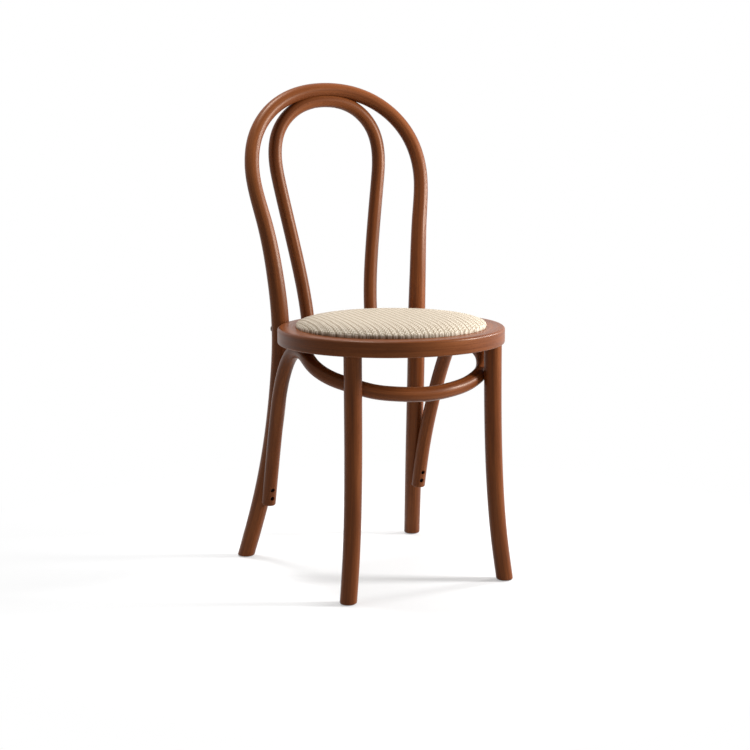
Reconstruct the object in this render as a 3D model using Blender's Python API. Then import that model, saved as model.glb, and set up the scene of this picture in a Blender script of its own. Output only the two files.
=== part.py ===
"""Bentwood cafe chair with a padded woven seat, as separate pieces.

Metres, +Z up. The chair faces -Y and is mirrored about X = 0. The seat ring's
axis is the working centre; at the end every piece moves so that the origin is
the middle of the floor under the chair.
"""

from collections import namedtuple
from math import cos, pi, radians, sin, tau

import bmesh
import bpy
import numpy as np
from mathutils import Matrix, Vector

# Overall sizes.
OVERALL_HEIGHT = 0.900
SEAT_HEIGHT = 0.463
SEAT_DIAMETER = 0.412
CLEARANCE = 0.0003

# Seat ring: a bent rim with a rebated well for the pad.
RING_DEPTH = 0.0287
RING_TOP_ROUND = 0.005
RING_BOTTOM_ROUND = 0.003
RING_INNER_ROUND = 0.0015
RIM_WIDTH = 0.0343
LEDGE_WIDTH = 0.017
LEDGE_THICKNESS = 0.014

# Back frame: one rod bent into the outer hoop and both rear legs.
REAR_FOOT_RADIUS = 0.0157
REAR_SEAT_RADIUS = 0.0167
HOOP_RADIUS = 0.0135
REAR_LET_IN = 0.0047
REAR_ANGLE = 138.3
REAR_SPLAY_OUT = 0.0386
REAR_SPLAY_BACK = 0.0888
REAR_OUT_BEND = 2.0
REAR_BACK_BEND = 1.75
REAR_FULL_SHARE = 0.65
HOOP_THIN_SHARE = 0.6
HOOP_LEAN = 0.0954
HOOP_LEAN_BEND = 1.82
HOOP_LIMB_SHARE = 0.445
HOOP_LIMB_FLARE = 0.019
HOOP_LIMB_BEND = 1.57
HOOP_SHOULDER_SHARE = 0.649
HOOP_SHOULDER_HALF_WIDTH = 0.177
ARCH_FULLNESS = 2.13

# Inner hoop: its ends lap over the back of the ring's rim.
INNER_RADIUS = 0.0127
INNER_LET_IN = 0.0035
INNER_ANGLE = 161.65
INNER_LEAN = 0.0553
INNER_LEAN_BEND = 1.35
INNER_LIMB_SHARE = 0.622
INNER_LIMB_FLARE = 0.0363
INNER_LIMB_BEND = 1.43
INNER_SHOULDER_SHARE = 0.7545
INNER_SHOULDER_HALF_WIDTH = 0.110
INNER_END_RISE = 0.002
INNER_END_ROUND = 0.002
CROWN_LAP = 0.0065

# Front legs, tenoned into the ring's underside.
FRONT_FOOT_RADIUS = 0.0152
FRONT_TOP_RADIUS = 0.016
FRONT_INSET = 0.0194
FRONT_ANGLE = 49.4
FRONT_SPLAY_OUT = 0.0193
FRONT_SPLAY_FORWARD = 0.0141
FRONT_OUT_BEND = 3.2
FRONT_FORWARD_BEND = 2.4
TENON_RADIUS = 0.011
TENON_LENGTH = 0.017
TENON_CHAMFER = 0.0015
FOOT_ROUND = 0.0035

# Brace: one rod from rear leg to rear leg, arched up under the ring at each
# side and looped down inside the front legs.
BRACE_RADIUS = 0.0132
BRACE_SEAT = 0.001
BRACE_END_HEIGHT = 0.1136
BRACE_LEAVE_HEIGHT = 0.205
BRACE_END_ANGLE = 8.0
BRACE_LEAVE_ANGLE = -14.0
BRACE_FRONT_DROP = 0.0577
BRACE_FRONT_ANGLE = 147.3
BRACE_END_ROUND = 0.0015
# Free stretches of the brace: degrees round the seat from the front, distance
# inside the ring's rim, and drop below the ring.
BRACE_LIMB = ((129.5, -0.0097, 0.1429), (121.2, 0.0084, 0.0643))
BRACE_SHOULDER = ((80.6, 0.0317, 0.0274), (67.2, 0.0367, 0.0454))
BRACE_LOOP = ((41.7, 0.0567, 0.0665), (23.4, 0.0674, 0.0730), (0.0, 0.0725, 0.0763))
# Where the brace touches the ring's underside: degrees, and distance inside the rim.
BRACE_CREST = ((107.2, 0.0301), (94.0, 0.0363))

# Seat pad: plywood, foam and a woven cover turned under the board.
PAD_EDGE_RISE = 0.004
PAD_CROWN = 0.0195
PAD_CROWN_BEND = 3.0
PAD_ROLL = 0.007
PAD_ROLL_START = 62.0
PAD_DRAW_IN = 0.002
COVER_THICKNESS = 0.0015
COVER_LIP = 0.0055
BOARD_THICKNESS = 0.009
BOARD_CHAMFER = 0.001

# Fixings.
BOLT_RADIUS = 0.003
BOLT_HEAD_RADIUS = 0.0055
BOLT_HEAD_HEIGHT = 0.0045
BOLT_SINK = 0.002
INSERT_RADIUS = 0.0045
INSERT_LENGTH = 0.014
BOLT_GRIP = 0.012
HEAD_DOME_WIDTH = 0.6
HEAD_DOME_RISE = 0.12
HEAD_RIM_RISE = 0.55
SCREW_RADIUS = 0.002
SCREW_HEAD_RADIUS = 0.0038
SCREW_HEAD_HEIGHT = 0.0026
SCREW_SINK = 0.0055
SCREW_BITE = 0.014
RING_SCREW_BITE = 0.010
BOARD_SCREW_BITE = 0.0065
BOARD_SCREW_SINK = 0.004
BOARD_SCREW_ANGLES = (45.0, 135.0, 225.0, 315.0)
CROWN_SCREW_SPREAD = 0.022
REAR_SCREW_HEIGHTS = (0.1425, 0.1257)
GLIDE_RADIUS = 0.009
GLIDE_HEIGHT = 0.003
GLIDE_PROUD = 0.001
GLIDE_CHAMFER = 0.0005
GLIDE_PIN_RADIUS = 0.0016
GLIDE_PIN_LENGTH = 0.014

# Mesh fineness.
ROD_SIDES = 16
THIN_ROD_SIDES = 14
RING_STEPS = 60
PAD_STEPS = 36
FIXING_SIDES = 12
LONGEST_STEP = 0.060
LARGEST_TURN = radians(11.0)
DENSE_SAMPLES = 1200
ARCH_TURNS = (radians(24.0), radians(48.0), radians(70.0))
LIMB_SHARES = (0.5, 1.0)
REAR_LEG_SHARES = (0.0, 0.28, 0.56, 0.8, 1.0)
FRONT_LEG_SHARES = (0.0, 0.2, 0.4, 0.6, 0.8, 1.0)
PAD_SHARES = (0.0, 0.22, 0.42, 0.6, 0.75, 0.88, 1.0)
JOINT_STEPS = 14
JOINT_SAMPLES = 200
CUT_REACH = 0.05
END_RINGS = 3
SMOOTH_ANGLE = radians(35.0)

# Colours, linear, with roughness and metallic.
WOOD = ((0.125, 0.037, 0.013), 0.34, 0.0)
PLYWOOD = ((0.45, 0.30, 0.16), 0.6, 0.0)
FOAM = ((0.72, 0.66, 0.50), 0.9, 0.0)
WOVEN = ((0.66, 0.53, 0.36), 0.75, 0.0)
STEEL = ((0.06, 0.055, 0.05), 0.4, 1.0)
BRASS = ((0.55, 0.36, 0.12), 0.35, 1.0)
NYLON = ((0.09, 0.06, 0.04), 0.5, 0.0)

SEAT_RADIUS = SEAT_DIAMETER / 2
RING_BOTTOM = SEAT_HEIGHT - RING_DEPTH
RING_MIDDLE = SEAT_HEIGHT - RING_DEPTH / 2
WELL_RADIUS = SEAT_RADIUS - RIM_WIDTH
PAD_RADIUS = WELL_RADIUS - CLEARANCE
LEDGE_RADIUS = WELL_RADIUS - LEDGE_WIDTH
LEDGE_TOP = RING_BOTTOM + LEDGE_THICKNESS
HOOP_CROWN = OVERALL_HEIGHT - HOOP_RADIUS
INNER_CROWN = OVERALL_HEIGHT - 2 * HOOP_RADIUS - INNER_RADIUS + CROWN_LAP
FOOT_BOTTOM = GLIDE_PROUD
LEG_TOP = RING_BOTTOM - CLEARANCE
BRACE_FRONT_HEIGHT = RING_BOTTOM - BRACE_FRONT_DROP

Fixing = namedtuple("Fixing", "name start direction head height shank length")


def polar(radius, degrees, height):
    """A point at this distance from the seat's axis, turned from the front."""
    angle = radians(degrees)
    return np.array((radius * sin(angle), -radius * cos(angle), height))


def flat(vector):
    """The level part of a vector, at unit length."""
    level = np.array((vector[0], vector[1], 0.0))
    return level / np.linalg.norm(level)


def turned_about_z(vector, degrees):
    angle = radians(degrees)
    x, y, z = vector
    return np.array((x * cos(angle) - y * sin(angle), x * sin(angle) + y * cos(angle), z))


def mirrored(points):
    return np.asarray(points) * np.array((-1.0, 1.0, 1.0))


def spline(stations, samples):
    """Points along a natural cubic spline through the stations."""
    stations = np.array(stations)
    chords = np.linalg.norm(np.diff(stations, axis=0), axis=1)
    knots = np.concatenate(([0.0], np.cumsum(chords)))
    count = len(knots)
    system = np.eye(count)
    loads = np.zeros_like(stations)
    for i in range(1, count - 1):
        before = chords[i - 1]
        after = chords[i]
        system[i, i - 1 : i + 2] = before / 6, (before + after) / 3, after / 6
        loads[i] = (stations[i + 1] - stations[i]) / after
        loads[i] -= (stations[i] - stations[i - 1]) / before
    bends = np.linalg.solve(system, loads)
    along = np.linspace(0.0, knots[-1], samples)
    span = np.clip(np.searchsorted(knots, along, side="right") - 1, 0, count - 2)
    width = chords[span][:, None]
    left = (knots[span + 1] - along)[:, None] / width
    right = 1.0 - left
    chord = left * stations[span] + right * stations[span + 1]
    left_bow = (left**3 - left) * bends[span]
    right_bow = (right**3 - right) * bends[span + 1]
    return chord + (left_bow + right_bow) * width**2 / 6


def thinned(path):
    """Fewer points of a dense path, closer together where it bends."""
    steps = np.diff(path, axis=0)
    lengths = np.linalg.norm(steps, axis=1)
    headings = steps / lengths[:, None]
    agreement = np.clip((headings[1:] * headings[:-1]).sum(axis=1), -1.0, 1.0)
    cost = lengths / LONGEST_STEP
    cost[1:] += np.arccos(agreement) / LARGEST_TURN
    total = np.concatenate(([0.0], np.cumsum(cost)))
    wanted = np.linspace(0.0, total[-1], int(np.ceil(total[-1])) + 1)
    return np.column_stack([np.interp(wanted, total, path[:, axis]) for axis in range(3)])


def half_path(stations):
    """The right half, end to middle, of a rod that is mirrored at its last station."""
    whole = np.vstack((stations, mirrored(stations[-2::-1])))
    dense = spline(whole, 2 * DENSE_SAMPLES + 1)
    half = dense[: DENSE_SAMPLES + 1]
    half[-1, 0] = 0.0
    return thinned(half)


def whole_path(half):
    return np.vstack((half, mirrored(half[-2::-1])))


def at_height(path, height):
    """The point of a rising path at this height."""
    return np.array([np.interp(height, path[:, 2], path[:, axis]) for axis in range(3)])


def round_end(path, radii, rounding):
    """Rings that round over the first end of a rod, then the rest of it."""
    heading = path[1] - path[0]
    heading = heading / np.linalg.norm(heading)
    turns = (pi / 2, pi / 4, 0.0)
    rings = [path[0] + heading * rounding * (1 - sin(turn)) for turn in turns]
    sizes = [radii[0] - rounding * (1 - cos(turn)) for turn in turns]
    return np.vstack((rings, path[1:])), np.concatenate((sizes, radii[1:]))


def round_both_ends(path, radii, rounding):
    path, radii = round_end(path, radii, rounding)
    path, radii = round_end(path[::-1], radii[::-1], rounding)
    return path[::-1], radii[::-1]


def swept(path, radii, sides, level_rings=0):
    """A closed round rod along a path.

    Section frames are carried both ways from the middle, so that a mirrored
    path gives a mirrored rod. The given number of rings at each end is cut
    level with the floor.
    """
    count = len(path)
    tangents = np.gradient(path, axis=0)
    tangents /= np.linalg.norm(tangents, axis=1)[:, None]
    normals = np.zeros_like(path)
    middle = count // 2
    for order in (range(middle, count), range(middle, -1, -1)):
        carried = np.array((0.0, 1.0, 0.0))
        for i in order:
            carried = carried - tangents[i] * carried.dot(tangents[i])
            carried = carried / np.linalg.norm(carried)
            normals[i] = carried
    sideways = np.cross(tangents, normals)
    bm = bmesh.new()
    rings = []
    for i in range(count):
        ring = []
        for side in range(sides):
            angle = tau * side / sides
            outward = normals[i] * cos(angle) + sideways[i] * sin(angle)
            point = path[i] + outward * radii[i]
            if i < level_rings or i >= count - level_rings:
                point = point + tangents[i] * (path[i, 2] - point[2]) / tangents[i, 2]
            ring.append(bm.verts.new(point))
        rings.append(ring)
    for lower, upper in zip(rings, rings[1:]):
        for side in range(sides):
            after = (side + 1) % sides
            bm.faces.new((lower[side], lower[after], upper[after], upper[side]))
    bm.faces.new(rings[0])
    bm.faces.new(rings[-1])
    bmesh.ops.recalc_face_normals(bm, faces=bm.faces)
    return bm


def turned(profile, sides, closed=False):
    """A turned solid about Z from (radius, height) points.

    A closed profile is a ring; an open one starts and ends on the axis.
    """
    bm = bmesh.new()
    rows = []
    for radius, height in profile:
        if radius == 0.0:
            rows.append([bm.verts.new((0.0, 0.0, height))] * sides)
            continue
        angles = [tau * side / sides for side in range(sides)]
        row = [bm.verts.new((radius * cos(a), radius * sin(a), height)) for a in angles]
        rows.append(row)
    pairs = list(zip(rows, rows[1:]))
    if closed:
        pairs.append((rows[-1], rows[0]))
    for upper, lower in pairs:
        for side in range(sides):
            after = (side + 1) % sides
            corners = (upper[side], upper[after], lower[after], lower[side])
            bm.faces.new(tuple(dict.fromkeys(corners)))
    bmesh.ops.recalc_face_normals(bm, faces=bm.faces)
    return bm


def arc(centre, radius, start, end, steps):
    """Points of an arc in the profile plane, angles in degrees from outwards."""
    points = []
    for angle in np.radians(np.linspace(start, end, steps + 1)):
        points.append((centre[0] + radius * cos(angle), centre[1] + radius * sin(angle)))
    return points


def along_axis(bm, start, direction):
    """Turns a piece made about Z to run from a point in a direction."""
    turn = Vector(direction).to_track_quat("Z", "Y").to_matrix().to_4x4()
    bmesh.ops.transform(bm, matrix=Matrix.Translation(Vector(start)) @ turn, verts=bm.verts)
    return bm


def joined(pieces):
    """One mesh that holds several separate closed pieces."""
    together = bmesh.new()
    for piece in pieces:
        mesh = bpy.data.meshes.new("piece")
        piece.to_mesh(mesh)
        piece.free()
        together.from_mesh(mesh)
        bpy.data.meshes.remove(mesh)
    return together


def added(name, bm):
    mesh = bpy.data.meshes.new(name)
    bm.to_mesh(mesh)
    bm.free()
    mesh.shade_smooth()
    mesh.set_sharp_from_angle(angle=SMOOTH_ANGLE)
    obj = bpy.data.objects.new(name, mesh)
    bpy.context.scene.collection.objects.link(obj)
    return obj


def piece(name, bm, finish):
    colour, roughness, metallic = finish
    obj = added(name, bm)
    surface = bpy.data.materials.new(name)
    surface.use_nodes = True
    shader = surface.node_tree.nodes["Principled BSDF"]
    shader.inputs["Base Color"].default_value = (*colour, 1.0)
    shader.inputs["Roughness"].default_value = roughness
    shader.inputs["Metallic"].default_value = metallic
    obj.data.materials.append(surface)
    return obj


def cutter(name, bm):
    obj = added("cutter_" + name, bm)
    obj.hide_render = True
    obj.display_type = "WIRE"
    return obj


def cut(obj, shape):
    """Takes a hidden cutter's shape out of a piece."""
    modifier = obj.modifiers.new(shape.name, "BOOLEAN")
    modifier.operation = "DIFFERENCE"
    modifier.solver = "EXACT"
    modifier.object = shape


def fixing_solid(fixing):
    """A screw or bolt: a domed head, a plain shank and a pointed end."""
    head = fixing.head
    profile = [
        (0.0, 0.0),
        (head * HEAD_DOME_WIDTH, fixing.height * HEAD_DOME_RISE),
        (head, fixing.height * HEAD_RIM_RISE),
        (head, fixing.height),
        (fixing.shank, fixing.height),
        (fixing.shank, fixing.length - fixing.shank),
        (0.0, fixing.length),
    ]
    return along_axis(turned(profile, FIXING_SIDES), fixing.start, fixing.direction)


def fixing_bore(fixing):
    """The stepped hole that a fixing sits in, open past its head."""
    head = fixing.head + CLEARANCE
    shank = fixing.shank + CLEARANCE
    step = fixing.height + CLEARANCE
    depth = fixing.length + CLEARANCE
    profile = [(0.0, -CUT_REACH), (head, -CUT_REACH), (head, step)]
    profile += [(shank, step), (shank, depth), (0.0, depth)]
    return along_axis(turned(profile, FIXING_SIDES), fixing.start, fixing.direction)


def both_sides(name, start, direction, head, height, shank, length):
    """A pair of fixings, the right one as given and the left one mirrored."""
    right = Fixing(name + "_right", start, direction, head, height, shank, length)
    left = Fixing(name + "_left", mirrored(start), mirrored(direction), head, height, shank, length)
    return [right, left]


def screw_pair(name, start, direction, length):
    sizes = (SCREW_HEAD_RADIUS, SCREW_HEAD_HEIGHT, SCREW_RADIUS, length)
    return both_sides(name, start, direction, *sizes)


def arch_stations(half_width, shoulder, crown):
    """Points of the rounded top of a hoop, from one shoulder towards the crown."""
    power = 2.0 / ARCH_FULLNESS
    points = []
    for turn in ARCH_TURNS:
        x = half_width * cos(turn) ** power
        z = shoulder + (crown - shoulder) * sin(turn) ** power
        points.append((x, z))
    return points


def hoop_stations(foot, crown, limb, shoulder_share, half_width, lean):
    """Stations of half a hoop above its foot on the ring.

    The limb flares by a power of its height up to the shoulder, and the arch is
    a full ellipse from there. Lean is a function of the share of the rise.
    """
    limb_share, flare, bend = limb
    rise = crown - foot[2]
    shoulder = foot[2] + shoulder_share * rise
    outline = []
    for share in LIMB_SHARES:
        height = foot[2] + limb_share * share * rise
        outline.append((foot[0] + flare * share**bend, height))
    outline.append((half_width, shoulder))
    outline += arch_stations(half_width, shoulder, crown)
    outline.append((0.0, crown))
    return [(x, foot[1] + lean((z - foot[2]) / rise), z) for x, z in outline]


def leg_stations(top, splay, bends, shares):
    """Stations of a leg that curves out to its foot from straight up at its top."""
    points = []
    for share in shares:
        x = top[0] + splay[0] * (1 - share) ** bends[0]
        y = top[1] + splay[1] * (1 - share) ** bends[1]
        points.append((x, y, FOOT_BOTTOM + share * (top[2] - FOOT_BOTTOM)))
    return points


def back_frame_path():
    seat = polar(SEAT_RADIUS + REAR_SEAT_RADIUS - REAR_LET_IN, REAR_ANGLE, RING_MIDDLE)
    splay = (REAR_SPLAY_OUT, REAR_SPLAY_BACK)
    leg = leg_stations(seat, splay, (REAR_OUT_BEND, REAR_BACK_BEND), REAR_LEG_SHARES)
    limb = (HOOP_LIMB_SHARE, HOOP_LIMB_FLARE, HOOP_LIMB_BEND)

    def lean(share):
        return HOOP_LEAN * share**HOOP_LEAN_BEND

    hoop = hoop_stations(seat, HOOP_CROWN, limb, HOOP_SHOULDER_SHARE, HOOP_SHOULDER_HALF_WIDTH, lean)
    return half_path(np.array(leg + hoop))


def inner_hoop_path():
    foot = polar(SEAT_RADIUS + INNER_RADIUS - INNER_LET_IN, INNER_ANGLE, RING_MIDDLE)
    limb = (INNER_LIMB_SHARE, INNER_LIMB_FLARE, INNER_LIMB_BEND)

    def lean(share):
        return INNER_LEAN * (1 - (1 - share) ** INNER_LEAN_BEND)

    hoop = hoop_stations(foot, INNER_CROWN, limb, INNER_SHOULDER_SHARE, INNER_SHOULDER_HALF_WIDTH, lean)
    end = RING_BOTTOM + INNER_END_RISE
    below = lean((end - RING_MIDDLE) / (INNER_CROWN - RING_MIDDLE))
    lowest = (foot[0], foot[1] + below, end)
    return half_path(np.array([lowest, tuple(foot)] + hoop))


def front_leg_path():
    top = polar(SEAT_RADIUS - FRONT_INSET, FRONT_ANGLE, LEG_TOP)
    splay = (FRONT_SPLAY_OUT, -FRONT_SPLAY_FORWARD)
    bends = (FRONT_OUT_BEND, FRONT_FORWARD_BEND)
    stations = leg_stations(top, splay, bends, FRONT_LEG_SHARES)
    return thinned(spline(stations, DENSE_SAMPLES))


def rear_radii(path):
    """The leg thickens up to the seat, and the hoop thins above it."""
    full = REAR_FULL_SHARE * RING_MIDDLE
    thin = RING_MIDDLE + HOOP_THIN_SHARE * (HOOP_CROWN - RING_MIDDLE)
    heights = (FOOT_BOTTOM, full, RING_MIDDLE, thin)
    sizes = (REAR_FOOT_RADIUS, REAR_SEAT_RADIUS, REAR_SEAT_RADIUS, HOOP_RADIUS)
    return np.interp(path[:, 2], heights, sizes)


def front_radii(path):
    return np.interp(path[:, 2], (FOOT_BOTTOM, LEG_TOP), (FRONT_FOOT_RADIUS, FRONT_TOP_RADIUS))


def even_radii(radius):
    return lambda path: np.full(len(path), radius)


def beside_rear_leg(rear, height, degrees):
    """The brace's centre where it lies against the front of a rear leg."""
    leg = at_height(rear, height)
    reach = rear_radii(leg[None, :])[0] + BRACE_RADIUS - BRACE_SEAT
    return leg + turned_about_z((0.0, -reach, 0.0), -degrees)


def beside_front_leg(front):
    """The brace's centre where it lies against the inside of a front leg."""
    leg = at_height(front, BRACE_FRONT_HEIGHT)
    reach = front_radii(leg[None, :])[0] + BRACE_RADIUS - BRACE_SEAT
    return leg + polar(reach, -BRACE_FRONT_ANGLE, 0.0)


def brace_path(rear, front):
    def free(stretch):
        return [polar(SEAT_RADIUS - inset, turn, RING_BOTTOM - drop) for turn, inset, drop in stretch]

    crest = RING_BOTTOM - BRACE_RADIUS + BRACE_SEAT
    stations = [
        beside_rear_leg(rear, BRACE_END_HEIGHT, BRACE_END_ANGLE),
        beside_rear_leg(rear, BRACE_LEAVE_HEIGHT, BRACE_LEAVE_ANGLE),
    ]
    stations += free(BRACE_LIMB)
    stations += [polar(SEAT_RADIUS - inset, turn, crest) for turn, inset in BRACE_CREST]
    stations += free(BRACE_SHOULDER)
    stations.append(beside_front_leg(front))
    stations += free(BRACE_LOOP)
    return half_path(np.array(stations))


def ring_profile(grow=0.0):
    """The seat ring's section; grown outwards, it is the seat cut into the rods."""
    top = SEAT_HEIGHT + grow
    bottom = RING_BOTTOM - grow
    outside = SEAT_RADIUS + grow
    top_round = RING_TOP_ROUND + grow
    bottom_round = RING_BOTTOM_ROUND + grow
    profile = [(WELL_RADIUS, top - RING_INNER_ROUND), (WELL_RADIUS + RING_INNER_ROUND, top)]
    profile += arc((outside - top_round, top - top_round), top_round, 90.0, 0.0, 3)
    profile += arc((outside - bottom_round, bottom + bottom_round), bottom_round, 0.0, -90.0, 2)
    profile += [(LEDGE_RADIUS + RING_INNER_ROUND, bottom), (LEDGE_RADIUS, bottom + RING_INNER_ROUND)]
    profile += [(LEDGE_RADIUS, LEDGE_TOP), (WELL_RADIUS, LEDGE_TOP)]
    return profile


def pad_outline(inset):
    """The pad's outside from the middle of its crown down to the foot of its side."""
    radius = PAD_RADIUS - inset
    edge = SEAT_HEIGHT + PAD_EDGE_RISE
    roll = PAD_ROLL - inset
    shoulder = radius - roll
    points = []
    for share in PAD_SHARES:
        reach = share * shoulder
        swell = 1 - (reach / PAD_RADIUS) ** PAD_CROWN_BEND
        points.append((reach, edge + PAD_CROWN * swell - inset))
    drop = points[-1][1] - roll
    points += arc((shoulder, drop), roll, PAD_ROLL_START, 0.0, 2)
    return points


def cover_profile():
    """A thin shell: crown, rolled edge, drawn-in side and a lip under the board."""
    bottom = LEDGE_TOP + CLEARANCE
    lip = PAD_RADIUS - COVER_LIP
    outside = pad_outline(0.0)
    outside += [(PAD_RADIUS - PAD_DRAW_IN, bottom), (lip, bottom)]
    inside = pad_outline(COVER_THICKNESS)
    inside += [(PAD_RADIUS - PAD_DRAW_IN - COVER_THICKNESS, bottom + COVER_THICKNESS)]
    inside += [(lip, bottom + COVER_THICKNESS)]
    return outside + inside[::-1]


def seat_pad():
    piece("woven_cover", turned(cover_profile(), PAD_STEPS), WOVEN)
    board_bottom = LEDGE_TOP + COVER_THICKNESS + 2 * CLEARANCE
    board_top = board_bottom + BOARD_THICKNESS
    inset = COVER_THICKNESS + CLEARANCE
    board_radius = PAD_RADIUS - PAD_DRAW_IN - inset
    board = [
        (0.0, board_top),
        (board_radius - BOARD_CHAMFER, board_top),
        (board_radius, board_top - BOARD_CHAMFER),
        (board_radius, board_bottom + BOARD_CHAMFER),
        (board_radius - BOARD_CHAMFER, board_bottom),
        (0.0, board_bottom),
    ]
    foam_bottom = board_top + CLEARANCE
    foam = pad_outline(inset)
    foam += [(board_radius, foam_bottom), (0.0, foam_bottom)]
    piece("seat_foam", turned(foam, PAD_STEPS), FOAM)
    return piece("seat_board", turned(board, PAD_STEPS), PLYWOOD), board_bottom


def crown_heights(path, width):
    """Heights and half thicknesses, straight up, of a hoop's arch across its crown."""
    arch = path[np.argmax(path[:, 0]) :][::-1]
    slope = np.gradient(arch[:, 2], arch[:, 0])
    heights = np.interp(width, arch[:, 0], arch[:, 2])
    steepness = np.interp(width, arch[:, 0], slope)
    return heights, np.sqrt(1 + steepness**2)


def crown_joint(outer, inner):
    """The line across the crown on which both hoops are planed to meet."""
    widths = np.linspace(0.0, INNER_SHOULDER_HALF_WIDTH - INNER_RADIUS, JOINT_SAMPLES)
    outer_heights, outer_steep = crown_heights(outer, widths)
    inner_heights, inner_steep = crown_heights(inner, widths)
    outer_half = HOOP_RADIUS * outer_steep
    inner_half = INNER_RADIUS * inner_steep
    gap = outer_heights - inner_heights
    apart = np.flatnonzero(gap > outer_half + inner_half)
    last = apart[0] if len(apart) else len(widths) - 1
    line = outer_heights - gap * outer_half / (outer_half + inner_half)
    reach = np.linspace(-widths[last], widths[last], JOINT_STEPS + 1)
    return reach, np.interp(np.abs(reach), widths, line)


def curtain(across, heights, far, depth):
    """A slab whose one edge follows a line, standing to a far height, square to Y."""
    bm = bmesh.new()
    faces = []
    for y in depth:
        near_edge = [bm.verts.new((x, y, z)) for x, z in zip(across, heights)]
        far_edge = [bm.verts.new((x, y, far)) for x in across[::-1]]
        faces.append(near_edge + far_edge)
    bm.faces.new(faces[0])
    bm.faces.new(faces[1])
    count = len(faces[0])
    for i in range(count):
        after = (i + 1) % count
        bm.faces.new((faces[0][i], faces[0][after], faces[1][after], faces[1][i]))
    bmesh.ops.recalc_face_normals(bm, faces=bm.faces)
    return bm


def stretch(path, low, high):
    """The part of a rising path between two heights."""
    inside = path[(path[:, 2] > low) & (path[:, 2] < high)]
    return np.vstack((at_height(path, low), inside, at_height(path, high)))


def grown_pair(path, radii_of):
    """Slightly thicker copies of a leg on both sides, as cutters for what seats on it."""
    radii = radii_of(path) + CLEARANCE
    return [swept(path, radii, ROD_SIDES), swept(mirrored(path), radii, ROD_SIDES)]


def screw_into(centre, radius, direction, through, bite):
    """Start and length of a screw sunk in a rod, through it and into the next piece."""
    start = centre - direction * (radius - SCREW_SINK)
    return start, radius - SCREW_SINK + through + bite


def rod_fixings(rear, inner, front, brace):
    """All the screws and bolts that join the rods, grouped by what they join."""
    up = np.array((0.0, 0.0, 1.0))
    groups = {}

    leg = at_height(rear, RING_MIDDLE)
    inward = -flat(leg)
    start = leg - inward * (REAR_SEAT_RADIUS - BOLT_SINK + BOLT_HEAD_HEIGHT)
    length = np.linalg.norm(start[:2]) - SEAT_RADIUS + BOLT_GRIP
    sizes = (BOLT_HEAD_RADIUS, BOLT_HEAD_HEIGHT, BOLT_RADIUS, length)
    groups["bolt"] = both_sides("frame_bolt", start, inward, *sizes)

    foot = at_height(inner, RING_MIDDLE)
    inward = -flat(foot)
    to_ring = np.linalg.norm(foot[:2]) - SEAT_RADIUS
    start, length = screw_into(foot, INNER_RADIUS, inward, to_ring, SCREW_BITE)
    groups["hoop"] = screw_pair("hoop_screw", start, inward, length)

    arch = inner[np.argmax(inner[:, 0]) :][::-1]
    crown = np.array([np.interp(CROWN_SCREW_SPREAD, arch[:, 0], arch[:, axis]) for axis in range(3)])
    start, length = screw_into(crown, INNER_RADIUS, up, INNER_RADIUS, SCREW_BITE - CROWN_LAP)
    groups["crown"] = screw_pair("crown_screw", start, up, length)

    limb = brace[: np.argmax(brace[:, 2]) + 1]
    groups["rear"] = []
    for order, height in zip(("upper", "lower"), REAR_SCREW_HEIGHTS):
        centre = at_height(limb, height)
        towards = flat(at_height(rear, height) - centre)
        start, length = screw_into(centre, BRACE_RADIUS, towards, BRACE_RADIUS, SCREW_BITE)
        groups["rear"] += screw_pair("brace_rear_screw_" + order, start, towards, length)

    turn, inset = np.mean(BRACE_CREST, axis=0)
    crest = polar(SEAT_RADIUS - inset, turn, RING_BOTTOM)
    nearest = brace[np.argmin(np.linalg.norm(brace - crest, axis=1))]
    start, length = screw_into(nearest, BRACE_RADIUS, up, RING_BOTTOM - nearest[2], RING_SCREW_BITE)
    groups["ring"] = screw_pair("brace_ring_screw", start, up, length)

    centre = beside_front_leg(front)
    towards = flat(at_height(front, centre[2]) - centre)
    start, length = screw_into(centre, BRACE_RADIUS, towards, BRACE_RADIUS, SCREW_BITE)
    groups["front"] = screw_pair("brace_front_screw", start, towards, length)
    return groups


def board_fixings(board_bottom):
    fixings = []
    reach = (LEDGE_RADIUS + PAD_RADIUS - COVER_LIP) / 2
    for number, turn in enumerate(BOARD_SCREW_ANGLES, 1):
        start = polar(reach, turn, RING_BOTTOM + BOARD_SCREW_SINK)
        length = board_bottom - start[2] + BOARD_SCREW_BITE
        sizes = (SCREW_HEAD_RADIUS, SCREW_HEAD_HEIGHT, SCREW_RADIUS, length)
        fixings.append(Fixing(f"board_screw_{number}", start, np.array((0.0, 0.0, 1.0)), *sizes))
    return fixings


def bores(*groups):
    return joined([fixing_bore(fixing) for group in groups for fixing in group])


def insert_solids(bolts):
    """Threaded sleeves set into the ring's rim, and the blind holes that take them."""
    bore = BOLT_RADIUS + CLEARANCE
    depth = CLEARANCE + INSERT_LENGTH
    tube = [(bore, CLEARANCE), (INSERT_RADIUS, CLEARANCE), (INSERT_RADIUS, depth), (bore, depth)]
    outside = INSERT_RADIUS + CLEARANCE
    end = depth + CLEARANCE
    socket = [(0.0, -CUT_REACH), (outside, -CUT_REACH), (outside, end), (0.0, end)]
    sleeves = []
    sockets = []
    for bolt in bolts:
        rim = -bolt.direction * SEAT_RADIUS
        rim[2] = bolt.start[2]
        sleeve = along_axis(turned(tube, FIXING_SIDES, closed=True), rim, bolt.direction)
        sleeves.append((bolt.name.replace("bolt", "insert"), sleeve))
        sockets.append(along_axis(turned(socket, FIXING_SIDES), rim, bolt.direction))
    return sleeves, sockets


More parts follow.
